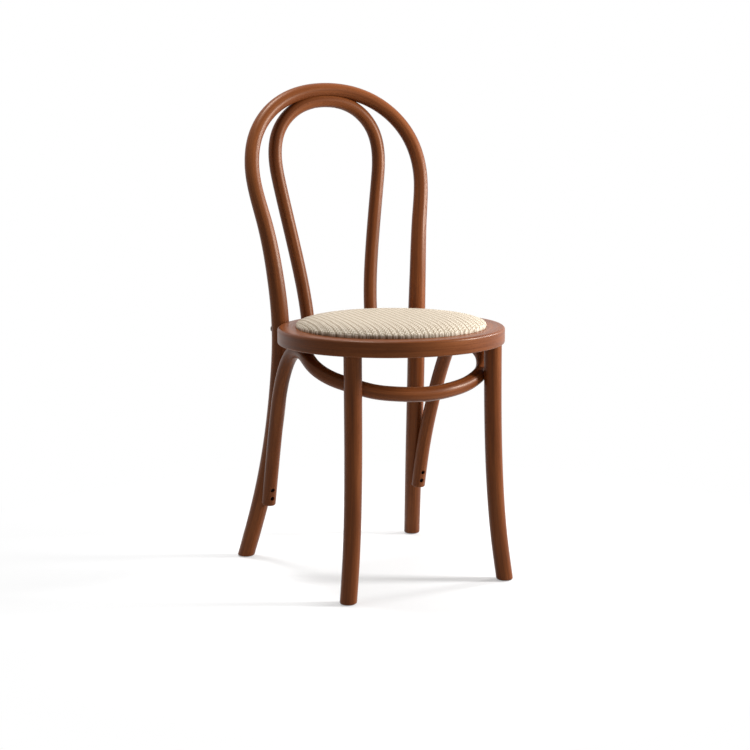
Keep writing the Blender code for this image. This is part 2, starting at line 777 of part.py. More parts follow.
def glide_profile(grow=0.0):
    """A foot glide with its pin; grown, it is the hole that takes it."""
    radius = GLIDE_RADIUS + grow
    top = GLIDE_HEIGHT + grow
    pin = GLIDE_PIN_RADIUS + grow
    tip = GLIDE_HEIGHT + GLIDE_PIN_LENGTH + grow
    base = [(0.0, 0.0), (radius - GLIDE_CHAMFER, 0.0), (radius, GLIDE_CHAMFER), (radius, top)]
    return base + [(pin, top), (pin, tip - pin), (0.0, tip)]


def glide_at(foot, grow=0.0):
    bm = turned(glide_profile(grow), FIXING_SIDES)
    bmesh.ops.translate(bm, vec=Vector((foot[0], foot[1], 0.0)), verts=bm.verts)
    return bm


def bent_rod(name, half, radii_of, rounding, sides, level_rings=0):
    """A piece bent from one rod, mirrored about its middle, with rounded ends."""
    path = whole_path(half)
    path, radii = round_both_ends(path, radii_of(path), rounding)
    return piece(name, swept(path, radii, sides, level_rings), WOOD)


def front_leg(name, path):
    """A leg with its level, rounded foot and the round tenon on its top."""
    rod, radii = round_end(path, front_radii(path), FOOT_ROUND)
    rises = (0.0, TENON_LENGTH - TENON_CHAMFER, TENON_LENGTH)
    tenon = [path[-1] + np.array((0.0, 0.0, rise)) for rise in rises]
    sizes = (TENON_RADIUS, TENON_RADIUS, TENON_RADIUS - TENON_CHAMFER)
    rod = np.vstack((rod, tenon))
    return piece(name, swept(rod, np.concatenate((radii, sizes)), ROD_SIDES, END_RINGS), WOOD)


def tenon_socket(top):
    radius = TENON_RADIUS + CLEARANCE
    depth = TENON_LENGTH + CLEARANCE
    profile = [(0.0, -CUT_REACH), (radius, -CUT_REACH), (radius, depth), (0.0, depth)]
    return along_axis(turned(profile, ROD_SIDES), top, (0.0, 0.0, 1.0))


def centred_on_floor():
    """Moves every piece so that the origin is the middle of the floor under the chair."""
    bpy.context.view_layer.update()
    graph = bpy.context.evaluated_depsgraph_get()
    reach = []
    for obj in bpy.data.objects:
        if not obj.hide_render:
            reach += [corner[1] for corner in obj.evaluated_get(graph).bound_box]
    middle = (min(reach) + max(reach)) / 2
    for obj in bpy.data.objects:
        obj.location.y -= middle


def main():
    for obj in list(bpy.data.objects):
        bpy.data.objects.remove(obj, do_unlink=True)

    rear = back_frame_path()
    inner = inner_hoop_path()
    front = front_leg_path()
    brace = brace_path(rear, front)
    joints = rod_fixings(rear, inner, front, brace)

    frame = bent_rod("back_frame", rear, rear_radii, FOOT_ROUND, ROD_SIDES, END_RINGS)
    hoop = bent_rod("inner_hoop", inner, even_radii(INNER_RADIUS), INNER_END_ROUND, THIN_ROD_SIDES)
    bow = bent_rod("brace", brace, even_radii(BRACE_RADIUS), BRACE_END_ROUND, THIN_ROD_SIDES)
    right_leg = front_leg("front_leg_right", front)
    left_leg = front_leg("front_leg_left", mirrored(front))
    ring = piece("seat_ring", turned(ring_profile(), RING_STEPS, closed=True), WOOD)
    board, board_bottom = seat_pad()
    board_screws = board_fixings(board_bottom)

    ring_seat = cutter("ring_seat", turned(ring_profile(CLEARANCE), RING_STEPS, closed=True))
    for obj in (frame, hoop, bow):
        cut(obj, ring_seat)
    across, line = crown_joint(rear, inner)
    depth = (rear[-1, 1] - CUT_REACH, rear[-1, 1] + CUT_REACH)
    half_gap = CLEARANCE / 2
    cut(frame, cutter("crown_below", curtain(across, line + half_gap, INNER_CROWN - CUT_REACH, depth)))
    cut(hoop, cutter("crown_above", curtain(across, line - half_gap, OVERALL_HEIGHT + CUT_REACH, depth)))
    rear_seat = stretch(rear, BRACE_END_HEIGHT - CUT_REACH, BRACE_LEAVE_HEIGHT + CUT_REACH)
    cut(bow, cutter("rear_leg_seats", joined(grown_pair(rear_seat, rear_radii))))
    front_seat = stretch(front, BRACE_FRONT_HEIGHT - CUT_REACH, BRACE_FRONT_HEIGHT + CUT_REACH)
    cut(bow, cutter("front_leg_seats", joined(grown_pair(front_seat, front_radii))))

    inserts, sockets = insert_solids(joints["bolt"])
    sockets += [tenon_socket(front[-1]), tenon_socket(mirrored(front[-1]))]
    cut(ring, cutter("ring_sockets", joined(sockets)))
    cut(ring, cutter("ring_bores", bores(joints["hoop"], joints["ring"], board_screws)))
    cut(frame, cutter("frame_bores", bores(joints["bolt"], joints["rear"], joints["crown"])))
    cut(hoop, cutter("hoop_bores", bores(joints["hoop"], joints["crown"])))
    cut(bow, cutter("brace_bores", bores(joints["rear"], joints["ring"], joints["front"])))
    cut(board, cutter("board_bores", bores(board_screws)))
    front_bores = cutter("front_leg_bores", bores(joints["front"]))
    cut(right_leg, front_bores)
    cut(left_leg, front_bores)

    for name, sleeve in inserts:
        piece(name, sleeve, BRASS)
    for group in (*joints.values(), board_screws):
        for fixing in group:
            piece(fixing.name, fixing_solid(fixing), STEEL)
    feet = {
        "rear_right": (rear[0], frame),
        "rear_left": (mirrored(rear[0]), frame),
        "front_right": (front[0], right_leg),
        "front_left": (mirrored(front[0]), left_leg),
    }
    for name, (foot, leg) in feet.items():
        cut(leg, cutter("glide_hole_" + name, glide_at(foot, CLEARANCE)))
        piece("glide_" + name, glide_at(foot), NYLON)
    centred_on_floor()


main()
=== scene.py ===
"""Looks of a bentwood cafe chair with a woven seat pad, built round its solids.

Metres, +Z up, in the frame of the solids. The chair faces -Y and is mirrored
about X = 0. Rods are worked out about the seat ring's axis and then moved to it.
"""

from functools import partial
from math import cos, pi, radians, sin, tau

import bpy
import numpy as np
from mathutils import Matrix, Vector


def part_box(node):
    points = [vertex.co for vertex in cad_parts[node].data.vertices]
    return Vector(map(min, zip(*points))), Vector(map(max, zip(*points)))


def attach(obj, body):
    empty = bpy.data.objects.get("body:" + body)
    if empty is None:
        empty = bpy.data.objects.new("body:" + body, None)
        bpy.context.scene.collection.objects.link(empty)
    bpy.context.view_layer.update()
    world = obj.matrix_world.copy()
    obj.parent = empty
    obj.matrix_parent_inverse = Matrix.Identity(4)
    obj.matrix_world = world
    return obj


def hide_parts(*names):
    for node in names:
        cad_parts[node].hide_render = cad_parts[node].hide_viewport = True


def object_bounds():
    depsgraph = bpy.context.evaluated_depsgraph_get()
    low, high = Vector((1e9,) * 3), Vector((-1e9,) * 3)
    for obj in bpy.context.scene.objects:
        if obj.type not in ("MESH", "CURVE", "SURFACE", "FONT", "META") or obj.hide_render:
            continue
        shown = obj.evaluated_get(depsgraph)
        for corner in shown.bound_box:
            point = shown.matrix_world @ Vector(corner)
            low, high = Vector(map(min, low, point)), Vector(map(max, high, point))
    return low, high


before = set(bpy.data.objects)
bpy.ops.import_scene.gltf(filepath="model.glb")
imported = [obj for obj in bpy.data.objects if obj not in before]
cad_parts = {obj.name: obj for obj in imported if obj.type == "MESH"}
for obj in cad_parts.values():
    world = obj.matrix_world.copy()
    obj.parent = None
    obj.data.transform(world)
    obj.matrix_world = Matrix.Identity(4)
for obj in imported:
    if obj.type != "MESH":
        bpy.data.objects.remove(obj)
cad_box = [list(corner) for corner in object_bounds()]

# Sizes that the solids give.
RING_LOW, RING_HIGH = (np.array(corner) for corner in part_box("seat_ring"))
PAD_LOW, PAD_HIGH = (np.array(corner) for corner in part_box("woven_cover"))
OVERALL_HEIGHT = cad_box[1][2]
CENTRE_Y = (RING_LOW[1] + RING_HIGH[1]) / 2
SEAT_RADIUS = (RING_HIGH[0] - RING_LOW[0]) / 2
SEAT_HEIGHT = RING_HIGH[2]
RING_BOTTOM = RING_LOW[2]
RING_MIDDLE = (SEAT_HEIGHT + RING_BOTTOM) / 2
PAD_RADIUS = (PAD_HIGH[0] - PAD_LOW[0]) / 2
PAD_TOP = PAD_HIGH[2]
PAD_BOTTOM = PAD_LOW[2]
CLEARANCE = 0.0003
BOARD_LOW, BOARD_HIGH = (np.array(corner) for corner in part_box("seat_board"))
WELL_RADIUS = PAD_RADIUS + CLEARANCE

# Back frame: the outer hoop and both rear legs, bent from one rod.
REAR_FOOT_RADIUS = 0.0157
REAR_SEAT_RADIUS = 0.0167
HOOP_RADIUS = 0.0135
REAR_LET_IN = 0.0047
REAR_ANGLE = 138.3
REAR_SPLAY = (0.0386, 0.0888)
REAR_BENDS = (2.0, 1.75)
REAR_FULL_SHARE = 0.65
HOOP_THIN_SHARE = 0.6
HOOP_LEAN = 0.0954
HOOP_LEAN_BEND = 1.82
HOOP_LIMB = (0.445, 0.019, 1.57)
HOOP_SHOULDER_SHARE = 0.649
HOOP_SHOULDER_HALF_WIDTH = 0.177
ARCH_FULLNESS = 2.13
ARCH_TURNS = (radians(24.0), radians(48.0), radians(70.0))
LIMB_SHARES = (0.5, 1.0)
REAR_LEG_SHARES = (0.0, 0.28, 0.56, 0.8, 1.0)

# Inner hoop: its ends lap over the back of the ring's rim.
INNER_RADIUS = 0.0127
INNER_LET_IN = 0.0035
INNER_ANGLE = 161.65
INNER_LEAN = 0.0553
INNER_LEAN_BEND = 1.35
INNER_LIMB = (0.622, 0.0363, 1.43)
INNER_SHOULDER_SHARE = 0.7545
INNER_SHOULDER_HALF_WIDTH = 0.110
INNER_END_RISE = 0.002
INNER_END_ROUND = 0.002
CROWN_LAP = 0.0065
JOINT_STEPS = 40
JOINT_SAMPLES = 200

# Front legs.
FRONT_FOOT_RADIUS = 0.0152
FRONT_TOP_RADIUS = 0.016
FRONT_INSET = 0.0194
FRONT_ANGLE = 49.4
FRONT_SPLAY = (0.0193, -0.0141)
FRONT_BENDS = (3.2, 2.4)
FRONT_LEG_SHARES = (0.0, 0.2, 0.4, 0.6, 0.8, 1.0)
FOOT_ROUND = 0.0035
LEVEL_FADE = 0.03
FOOT_BOTTOM = 0.001

# Brace: from rear leg to rear leg, arched up under the ring at each side and
# looped down inside the front legs. Free stretches are given as degrees round
# the seat from the front, distance inside the rim, and drop below the ring.
BRACE_RADIUS = 0.0132
BRACE_SEAT = 0.001
BRACE_END_HEIGHT = 0.1136
BRACE_LEAVE_HEIGHT = 0.205
BRACE_END_ANGLE = 8.0
BRACE_LEAVE_ANGLE = -14.0
BRACE_FRONT_DROP = 0.0577
BRACE_FRONT_ANGLE = 147.3
BRACE_END_ROUND = 0.0015
BRACE_LIMB = ((129.5, -0.0097, 0.1429), (121.2, 0.0084, 0.0643))
BRACE_CREST = ((107.2, 0.0301), (94.0, 0.0363))
BRACE_SHOULDER = ((80.6, 0.0317, 0.0274), (67.2, 0.0367, 0.0454))
BRACE_LOOP = ((41.7, 0.0567, 0.0665), (23.4, 0.0674, 0.0730), (0.0, 0.0725, 0.0763))

# Seat ring and pad.
RING_TOP_ROUND = 0.005
RING_BOTTOM_ROUND = 0.003
RING_INNER_ROUND = 0.0015
LEDGE_WIDTH = 0.017
LEDGE_THICKNESS = 0.014
LEDGE_RADIUS = WELL_RADIUS - LEDGE_WIDTH
LEDGE_TOP = RING_BOTTOM + LEDGE_THICKNESS
PAD_EDGE_RISE = 0.0072
PAD_CROWN = 0.0112
PAD_CROWN_BEND = 5.5
PAD_OVERHANG = 0.0025
PAD_ROLL = 0.006
PAD_DRAW_IN = 0.0005
PAD_ROLL_START = 70.0
PAD_FOOT = BOARD_HIGH[2] + CLEARANCE
PAD_STATIONS = 40
PAD_SIDES = 180
PAD_PRESSURE = 4.0
PAD_FRAMES = 12
PAD_CAP = 0.0012
COVER_LIP = 0.0055
WEAVE_ROW = 0.0105
WEAVE_TURN = radians(-11.0)
WEAVE_STRAND = 0.0085
WEAVE_SLANT = 1.1
WEAVE_SHIFT = 0.37
WEAVE_ZIGZAG = 0.45
# How far the weave's hollows reach: row edges, middle seam and strand gaps are darkened in colour as
# painted shade, and sunk in the bump.
WEAVE_ROW_GAP = 0.85
WEAVE_SEAM = 0.15
WEAVE_STRAND_GAP = 0.8
WEAVE_GAP_SPAN = (0.0, 0.3)
WEAVE_ROUNDING = 4.0
WEAVE_WANDER = 0.0035

# Fixings.
SCREW = {"head": 0.0038, "height": 0.0026, "shank": 0.002}
BOLT = {"head": 0.0055, "height": 0.0045, "shank": 0.003}
HEAD_RIM_RISE = 0.55
RECESS_WIDTH = 0.0009
RECESS_SHARE = 0.6
RECESS_DEPTH = 0.6
SOCKET_SHARE = 0.5
SOCKET_SIDES = 6
GLIDE_HEIGHT = 0.003
GLIDE_ROUND = 0.0005
GLIDE_PIN = 0.0016

# Mesh fineness.
FINE_STEP = 0.004
ROD_SIDES = 40
RING_STEPS = 240
FIXING_SIDES = 40
DENSE_SAMPLES = 3000
ROUND_STEPS = 5
FLOOR_SIDES = 96
CUT_REACH = 0.05
SMOOTH_ANGLE = radians(38.0)
TINY = 1e-9

# Camera, fitted to the view of the photograph.
CAMERA_PLACE = (-1.5070, -2.7929, 0.8756)
CAMERA_YAW = -0.4904
CAMERA_PITCH = 0.15845
CAMERA_ROLL = -0.0051
CAMERA_LENS = 83.93
SENSOR = 36.0

# Light: name, place, width, height and power of each lamp, and the room's even light.
# The back lamp is a fill that reflections don't show.
LAMPS = (
    ("key", (1.62, -1.00, 1.10), 0.35, 0.5, 57.0),
    ("side", (1.89, -0.10, 0.96), 0.3, 0.6, 20.0),
    ("top", (-0.3, 0.4, 2.4), 0.5, 0.5, 32.0),
)
BACK_LAMP = ("back", (0.95, 1.80, 1.30), 1.0, 1.0, 9.0)
ROOM_LIGHT = 0.22
FLOOR_RADIUS = 8.0
FLOOR_COLOUR = (0.94, 0.94, 0.94)
FLOOR_BOUNCE = (0.45, 0.45, 0.45)
FLOOR_FADE = (0.25, 0.95)
FLOOR_GLOW = 0.4
FLOOR_ROUGHNESS = 0.9
WHITE = (1.0, 1.0, 1.0, 1.0)

# Surfaces. Colours are linear, and stops pair a tone with its colour. A noise is given by its
# scales per metre, detail and roughness, a bump by its strength and depth in metres, and
# a roughness by its usual, lowest and highest value.
WOOD_STOPS = (
    (0.28, (0.090, 0.022, 0.0055)),
    (0.5, (0.165, 0.045, 0.0115)),
    (0.72, (0.260, 0.082, 0.024)),
)
WOOD_GLOSS = 0.2
WOOD_SHEEN = (1.0, 0.76, 0.58)
WOOD_ROUGHNESS = (0.36, 0.30, 0.42)
WOOD_ROUGH_SPAN = (0.3, 0.7)
WOOD_BROAD = ((5.0, 70.0, 70.0), 2.0)
WOOD_STREAK = ((9.0, 420.0, 420.0), 4.0, 0.6)
WOOD_PORE = ((110.0, 2400.0, 2400.0), 2.0)
WOOD_BROAD_SHARE = 0.55
WOOD_STREAK_SHARE = 0.45
WOOD_PORE_DARK = 0.16
WOOD_PORE_SPAN = (0.60, 0.74)
WOOD_BUMP = (0.12, 0.0003)
GRAIN_SHIFT = 4.0
# Low tones are painted shade in the weave's gaps and row edges; high tones are the cord's own
# colour.
WEAVE_AND_GAP_SHADE_STOPS = (
    (0.25, (0.15, 0.10, 0.055)),
    (0.75, (0.38, 0.312, 0.224)),
    (1.0, (0.61, 0.535, 0.43)),
)
WEAVE_ROUGHNESS = (0.72, 0.62, 0.85)
WEAVE_SWAY = ((30.0, 30.0, 30.0), 1.0)
WEAVE_FIBRE = ((900.0, 900.0, 900.0), 2.0)
WEAVE_PATCH = ((110.0, 110.0, 110.0), 2.0)
WEAVE_FIBRE_TONE = 0.25
WEAVE_PATCH_TONE = 0.3
WEAVE_TONE = 0.85
WEAVE_FIBRE_RISE = 0.15
WEAVE_BUMP = (0.6, 0.00035)
RUBBED_METAL = {
    "grain": ((700.0, 700.0, 700.0), 3.0),
    "bump": (0.1, 0.0002),
    "metallic": 1.0,
}
FLECKED = {
    "dark_steel": {
        "stops": ((0.3, (0.035, 0.03, 0.028)), (0.7, (0.09, 0.08, 0.075))),
        "roughness": (0.38, 0.30, 0.48),
        **RUBBED_METAL,
    },
    "brass": {
        "stops": ((0.3, (0.42, 0.26, 0.08)), (0.7, (0.60, 0.41, 0.15))),
        "roughness": (0.32, 0.24, 0.42),
        **RUBBED_METAL,
    },
    "glide": {
        "stops": ((0.35, (0.05, 0.033, 0.022)), (0.7, (0.11, 0.075, 0.05))),
        "roughness": (0.5, 0.42, 0.6),
        "grain": ((420.0, 420.0, 420.0), 3.0),
        "bump": (0.15, 0.0002),
    },
    "plywood": {
        "stops": ((0.3, (0.34, 0.21, 0.11)), (0.5, (0.46, 0.31, 0.17)), (0.7, (0.56, 0.41, 0.25))),
        "roughness": (0.6, 0.5, 0.7),
        "grain": ((6.0, 160.0, 500.0), 4.0, 0.6),
        "bump": (0.2, 0.0004),
    },
}


def polar(radius, degrees, height):
    """A point at this distance from the seat's axis, turned from the front."""
    angle = radians(degrees)
    return np.array((radius * sin(angle), -radius * cos(angle), height))


def turned_about_z(vector, degrees):
    angle = radians(degrees)
    x, y, z = vector
    return np.array((x * cos(angle) - y * sin(angle), x * sin(angle) + y * cos(angle), z))


def mirrored(points):
    return np.asarray(points) * np.array((-1.0, 1.0, 1.0))


def spline(stations, samples):
    """Points along a natural cubic spline through the stations."""
    stations = np.array(stations)
    chords = np.linalg.norm(np.diff(stations, axis=0), axis=1)
    knots = np.concatenate(([0.0], np.cumsum(chords)))
    count = len(knots)
    system = np.eye(count)
    loads = np.zeros_like(stations)
    for i in range(1, count - 1):
        before = chords[i - 1]
        after = chords[i]
        system[i, i - 1 : i + 2] = before / 6, (before + after) / 3, after / 6
        loads[i] = (stations[i + 1] - stations[i]) / after
        loads[i] -= (stations[i] - stations[i - 1]) / before
    bends = np.linalg.solve(system, loads)
    along = np.linspace(0.0, knots[-1], samples)
    span = np.clip(np.searchsorted(knots, along, side="right") - 1, 0, count - 2)
    width = chords[span][:, None]
    left = (knots[span + 1] - along)[:, None] / width
    right = 1.0 - left
    chord = left * stations[span] + right * stations[span + 1]
    left_bow = (left**3 - left) * bends[span]
    right_bow = (right**3 - right) * bends[span + 1]
    return chord + (left_bow + right_bow) * width**2 / 6


def lengths_along(path):
    return np.concatenate(([0.0], np.cumsum(np.linalg.norm(np.diff(path, axis=0), axis=1))))


def evenly(path):
    """The same path with points at even, fine steps."""
    total = lengths_along(path)
    wanted = np.linspace(0.0, total[-1], int(np.ceil(total[-1] / FINE_STEP)) + 1)
    return np.column_stack([np.interp(wanted, total, path[:, axis]) for axis in range(3)])


def half_path(stations):
    """The right half, end to middle, of a rod that is mirrored at its last station."""
    whole = np.vstack((stations, mirrored(stations[-2::-1])))
    half = spline(whole, 2 * DENSE_SAMPLES + 1)[: DENSE_SAMPLES + 1]
    half[-1, 0] = 0.0
    return evenly(half)


def whole_path(half):
    return np.vstack((half, mirrored(half[-2::-1])))


def at_height(path, height):
    """The point of a rising path at this height."""
    return np.array([np.interp(height, path[:, 2], path[:, axis]) for axis in range(3)])


def arch_stations(half_width, shoulder, crown):
    power = 2.0 / ARCH_FULLNESS
    points = []
    for turn in ARCH_TURNS:
        x = half_width * cos(turn) ** power
        points.append((x, shoulder + (crown - shoulder) * sin(turn) ** power))
    return points


def hoop_stations(foot, crown, limb, shoulder_share, half_width, lean):
    limb_share, flare, bend = limb
    rise = crown - foot[2]
    shoulder = foot[2] + shoulder_share * rise
    outline = []
    for share in LIMB_SHARES:
        outline.append((foot[0] + flare * share**bend, foot[2] + limb_share * share * rise))
    outline.append((half_width, shoulder))
    outline += arch_stations(half_width, shoulder, crown)
    outline.append((0.0, crown))
    return [(x, foot[1] + lean((z - foot[2]) / rise), z) for x, z in outline]


def leg_stations(top, splay, bends, shares):
    points = []
    for share in shares:
        x = top[0] + splay[0] * (1 - share) ** bends[0]
        y = top[1] + splay[1] * (1 - share) ** bends[1]
        points.append((x, y, FOOT_BOTTOM + share * (top[2] - FOOT_BOTTOM)))
    return points


def hoop_crown():
    return OVERALL_HEIGHT - HOOP_RADIUS


def inner_crown():
    return OVERALL_HEIGHT - 2 * HOOP_RADIUS - INNER_RADIUS + CROWN_LAP


def back_frame_path():
    seat = polar(SEAT_RADIUS + REAR_SEAT_RADIUS - REAR_LET_IN, REAR_ANGLE, RING_MIDDLE)
    leg = leg_stations(seat, REAR_SPLAY, REAR_BENDS, REAR_LEG_SHARES)

    def lean(share):
        return HOOP_LEAN * share**HOOP_LEAN_BEND

    sizes = (HOOP_LIMB, HOOP_SHOULDER_SHARE, HOOP_SHOULDER_HALF_WIDTH)
    return half_path(np.array(leg + hoop_stations(seat, hoop_crown(), *sizes, lean)))


def inner_hoop_path():
    foot = polar(SEAT_RADIUS + INNER_RADIUS - INNER_LET_IN, INNER_ANGLE, RING_MIDDLE)

    def lean(share):
        return INNER_LEAN * (1 - (1 - share) ** INNER_LEAN_BEND)

    sizes = (INNER_LIMB, INNER_SHOULDER_SHARE, INNER_SHOULDER_HALF_WIDTH)
    hoop = hoop_stations(foot, inner_crown(), *sizes, lean)
    end = RING_BOTTOM + INNER_END_RISE
    below = lean((end - RING_MIDDLE) / (inner_crown() - RING_MIDDLE))
    lowest = (foot[0], foot[1] + below, end)
    return half_path(np.array([lowest, tuple(foot)] + hoop))


def front_leg_path():
    top = polar(SEAT_RADIUS - FRONT_INSET, FRONT_ANGLE, RING_BOTTOM - CLEARANCE)
    stations = leg_stations(top, FRONT_SPLAY, FRONT_BENDS, FRONT_LEG_SHARES)
    return evenly(spline(stations, DENSE_SAMPLES))


def rear_radii(path):
    """The leg thickens up to the seat, and the hoop thins above it."""
    full = REAR_FULL_SHARE * RING_MIDDLE
    thin = RING_MIDDLE + HOOP_THIN_SHARE * (hoop_crown() - RING_MIDDLE)
    heights = (FOOT_BOTTOM, full, RING_MIDDLE, thin)
    sizes = (REAR_FOOT_RADIUS, REAR_SEAT_RADIUS, REAR_SEAT_RADIUS, HOOP_RADIUS)
    return np.interp(path[:, 2], heights, sizes)


def front_radii(path):
    return np.interp(path[:, 2], (FOOT_BOTTOM, RING_BOTTOM), (FRONT_FOOT_RADIUS, FRONT_TOP_RADIUS))


def beside_rear_leg(rear, height, degrees):
    leg = at_height(rear, height)
    reach = rear_radii(leg[None, :])[0] + BRACE_RADIUS - BRACE_SEAT
    return leg + turned_about_z((0.0, -reach, 0.0), -degrees)


def beside_front_leg(front):
    leg = at_height(front, RING_BOTTOM - BRACE_FRONT_DROP)
    reach = front_radii(leg[None, :])[0] + BRACE_RADIUS - BRACE_SEAT
    return leg + polar(reach, -BRACE_FRONT_ANGLE, 0.0)


def brace_path(rear, front):
    def free(places):
        return [polar(SEAT_RADIUS - inset, turn, RING_BOTTOM - drop) for turn, inset, drop in places]

    crest = RING_BOTTOM - BRACE_RADIUS + BRACE_SEAT
    stations = [
        beside_rear_leg(rear, BRACE_END_HEIGHT, BRACE_END_ANGLE),
        beside_rear_leg(rear, BRACE_LEAVE_HEIGHT, BRACE_LEAVE_ANGLE),
    ]
    stations += free(BRACE_LIMB)
    stations += [polar(SEAT_RADIUS - inset, turn, crest) for turn, inset in BRACE_CREST]
    stations += free(BRACE_SHOULDER)
    stations.append(beside_front_leg(front))
    stations += free(BRACE_LOOP)
    return half_path(np.array(stations))


def round_end(path, radii, rounding):
    """Rings that round over the first end of a rod, then the rest of it."""
    heading = path[1] - path[0]
    heading = heading / np.linalg.norm(heading)
    turns = np.linspace(pi / 2, 0.0, ROUND_STEPS + 1)
    rings = [path[0] + heading * rounding * (1 - sin(turn)) for turn in turns]
    sizes = [radii[0] - rounding * (1 - cos(turn)) for turn in turns]
    rest = lengths_along(path) > rounding
    return np.vstack((rings, path[rest])), np.concatenate((sizes, radii[rest]))


def round_both_ends(path, radii, rounding):
    path, radii = round_end(path, radii, rounding)
    path, radii = round_end(path[::-1], radii[::-1], rounding)
    return path[::-1], radii[::-1]


def section_frames(path):
    """Headings and two cross directions, carried both ways from a rod's middle."""
    headings = np.gradient(path, axis=0)
    headings /= np.linalg.norm(headings, axis=1)[:, None]
    across = np.zeros_like(path)
    middle = len(path) // 2
    for order in (range(middle, len(path)), range(middle, -1, -1)):
        carried = np.array((0.0, 1.0, 0.0))
        for i in order:
            carried = carried - headings[i] * carried.dot(headings[i])
            carried = carried / np.linalg.norm(carried)
            across[i] = carried
    return headings, across, np.cross(headings, across)


def add_object(name, points, faces, grain=None):
    """A mesh object; grain gives each corner its place along and across the wood."""
    mesh = bpy.data.meshes.new(name)
    mesh.from_pydata([tuple(point) for point in points], [], faces)
    if grain is not None:
        along_map = mesh.uv_layers.new(name="grain")
        depth_map = mesh.uv_layers.new(name="depth")
        corners = np.array(grain, np.float32)
        along_map.data.foreach_set("uv", corners[:, :2].ravel())
        depth_map.data.foreach_set("uv", corners[:, 2:].ravel())
    mesh.validate()
    obj = bpy.data.objects.new(name, mesh)
    bpy.context.scene.collection.objects.link(obj)
    return obj


def swept(name, path, radii, seed=0.0, level_ends=False):
    """A closed round rod along a path, with its wood grain following the bends."""
    headings, across, sideways = section_frames(path)
    count = len(path)
    angles = tau * np.arange(ROD_SIDES) / ROD_SIDES
    along = lengths_along(path)
    from_end = np.minimum(along, along[-1] - along)
    level = np.clip((FOOT_ROUND + LEVEL_FADE - from_end) / LEVEL_FADE, 0.0, 1.0) * level_ends
    points = []
    for i in range(count):
        for angle in angles:
            out = across[i] * cos(angle) + sideways[i] * sin(angle)
            point = path[i] + out * radii[i]
            if level[i] > 0:
                point = point + headings[i] * level[i] * (path[i, 2] - point[2]) / headings[i, 2]
            points.append(point)
    faces = []
    grain = []

    def place(i, side):
        angle = angles[side]
        return (along[i], radii[i] * cos(angle), radii[i] * sin(angle), seed)

    for i in range(count - 1):
        for side in range(ROD_SIDES):
            after = (side + 1) % ROD_SIDES
            corners = ((i, side), (i, after), (i + 1, after), (i + 1, side))
            faces.append([row * ROD_SIDES + column for row, column in corners])
            grain += [place(row, column) for row, column in corners]
    for i, order in ((0, range(ROD_SIDES - 1, -1, -1)), (count - 1, range(ROD_SIDES))):
        faces.append([i * ROD_SIDES + side for side in order])
        grain += [place(i, side) for side in order]
    return add_object(name, points, faces, grain)


def turned(name, profile, sides, closed=False, seed=0.0):
    """A turned solid about Z from (radius, height) points, grain running round it from the back.

    The profile runs from the top down its outer side. A closed one is a ring.
    """
    points = []
    rows = []
    angles = pi / 2 + tau * np.arange(sides) / sides
    for radius, height in profile:
        if radius == 0.0:
            rows.append([len(points)] * sides)
            points.append((0.0, 0.0, height))
            continue
        rows.append(list(range(len(points), len(points) + sides)))
        points += [(radius * cos(angle), radius * sin(angle), height) for angle in angles]
    faces = []
    grain = []
    pairs = [(k, k + 1) for k in range(len(rows) - 1)]
    if closed:
        pairs.append((len(rows) - 1, 0))
    for upper, lower in pairs:
        for side in range(sides):
            after = (side + 1) % sides
            corners = [(upper, after, side + 1), (upper, side, side)]
            corners += [(lower, side, side), (lower, after, side + 1)]
            used = {}
            for row, column, step in corners:
                radius, height = profile[row]
                place = (SEAT_RADIUS * tau * step / sides, radius, height, seed)
                used.setdefault(rows[row][column], place)
            faces.append(list(used))
            grain += list(used.values())
    return add_object(name, points, faces, grain)


def arc(centre, radius, start, end, steps):
    points = []
    for angle in np.radians(np.linspace(start, end, steps + 1)):
        points.append((centre[0] + radius * cos(angle), centre[1] + radius * sin(angle)))
    return points


def moved_to_ring(obj):
    """Moves a mesh from the ring's axis to where the solids are."""
    obj.data.transform(Matrix.Translation((0.0, CENTRE_Y, 0.0)))
    return obj


def vertex_places(mesh):
    places = np.empty(len(mesh.vertices) * 3)
    mesh.vertices.foreach_get("co", places)
    return places.reshape(-1, 3)


def applied(obj):
    """Turns a piece's modifiers into its mesh."""
    bpy.context.view_layer.update()
    graph = bpy.context.evaluated_depsgraph_get()
    result = bpy.data.meshes.new_from_object(obj.evaluated_get(graph))
    obj.modifiers.clear()
    obj.data = result


def cut(obj, shapes):
    """Takes cutters out of a piece."""
    for shape in shapes:
        modifier = obj.modifiers.new("cut", "BOOLEAN")
        modifier.operation = "DIFFERENCE"
        modifier.solver = "EXACT"
        modifier.object = shape
    applied(obj)


def discard(shapes):
    for shape in shapes:
        bpy.data.objects.remove(shape, do_unlink=True)


def smooth(obj):
    obj.data.shade_smooth()
    obj.data.set_sharp_from_angle(angle=SMOOTH_ANGLE)


def dressed(obj, slot, surface, *nodes):
    """Gives a piece its surface and smooth shading, hangs it under the root body, and hides the
    solids that it stands for.
    """
    obj.data.materials.clear()
    obj.data.materials.append(surface)
    smooth(obj)
    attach(obj, "root")
    if nodes:
        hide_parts(*nodes)
    return obj


def fixing_axis(node):
    """Head point, direction and length of a screw or bolt, read from its solid."""
    points = vertex_places(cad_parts[node].data)
    centre = points.mean(axis=0)
    direction = np.linalg.svd(points - centre, full_matrices=False)[2][0]
    along = (points - centre) @ direction
    off = np.linalg.norm(points - centre - along[:, None] * direction, axis=1)
    if along[np.argmax(off)] > 0:
        direction = -direction
        along = -along
    return centre + direction * along.min(), direction, along.max() - along.min()


def placed(obj, start, direction):
    turn = Vector(direction).to_track_quat("Z", "Y").to_matrix().to_4x4()
    obj.data.transform(Matrix.Translation(Vector(start)) @ turn)
    return obj


def prism(name, outline, low, high):
    """An upright solid over an outline given anticlockwise."""
    count = len(outline)
    points = [(x, y, z) for z in (low, high) for x, y in outline]
    faces = [list(range(count - 1, -1, -1)), list(range(count, 2 * count))]
    for i in range(count):
        after = (i + 1) % count
        faces.append([i, after, count + after, count + i])
    return add_object(name, points, faces)


